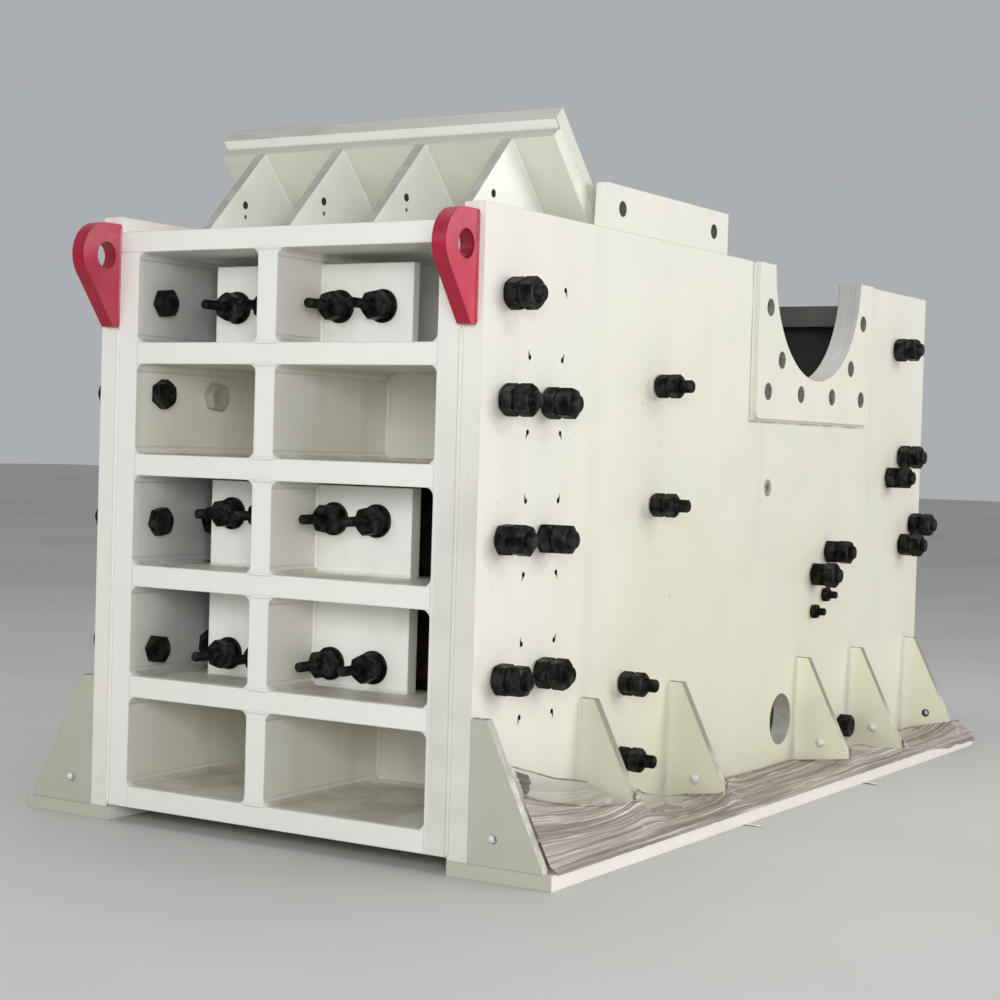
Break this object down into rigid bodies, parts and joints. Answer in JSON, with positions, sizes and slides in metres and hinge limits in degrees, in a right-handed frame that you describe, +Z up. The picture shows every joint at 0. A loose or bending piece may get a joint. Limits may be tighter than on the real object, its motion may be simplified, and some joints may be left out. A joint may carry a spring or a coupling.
{
  "type": "jaw crusher frame",
  "caption": "Heavy bolted main frame of a jaw crusher: ribbed front wall, thick side plates with bearing saddles, sloped feed deflector, gusseted feet and lifting lugs.",
  "frame": {"origin": "centre of the footprint at floor level, midway between the foot flanges and between the lifting lugs' tips and the rear edge", "axes": "+X from the ribbed front wall to the rear, +Y from the near side plate to the far one, +Z up"},
  "size_m": [4.355, 2.276, 2.6018],
  "materials": {
    "cream_paint": "satin cream-white machine paint",
    "red_paint": "gloss red paint",
    "cast_steel": "bare cast manganese steel",
    "machined_steel": "bored and greased steel",
    "black_bolt": "black oxide fasteners",
    "clear_film": "wrinkled clear stretch film"
  },
  "bodies": {
    "root": {"side_plate_near": "cream_paint", "side_plate_far": "cream_paint", "saddle_plate_near": "cream_paint", "saddle_plate_far": "cream_paint", "top_tab_near": "cream_paint", "top_tab_far": "cream_paint", "lifting_lug_near": "red_paint", "lifting_lug_far": "red_paint", "foot_flange_near": "cream_paint", "foot_flange_far": "cream_paint", "foot_gussets_near": "cream_paint", "foot_gussets_far": "cream_paint", "front_top_beam": "cream_paint", "front_stile_near": "cream_paint", "front_stile_far": "cream_paint", "front_shelf_1": "cream_paint", "front_shelf_2": "cream_paint", "front_shelf_3": "cream_paint", "front_shelf_4": "cream_paint", "front_bottom_shelf": "cream_paint", "front_mullion": "cream_paint", "pocket_bolt_plates": "cream_paint", "jaw_support_plate": "cream_paint", "fixed_jaw_plate": "cast_steel", "deflector_plate": "cream_paint", "deflector_liner": "cream_paint", "deflector_ribs": "cream_paint", "cheek_plates_near": "cast_steel", "cheek_plates_far": "cast_steel", "rear_top_beam": "cream_paint", "rear_top_web": "cream_paint", "toggle_housing": "cream_paint", "toggle_housing_ribs": "cream_paint", "toggle_seat": "cast_steel", "lower_cross_beam": "cream_paint", "rear_base_beam": "cream_paint"}
  },
  "joints": []
}
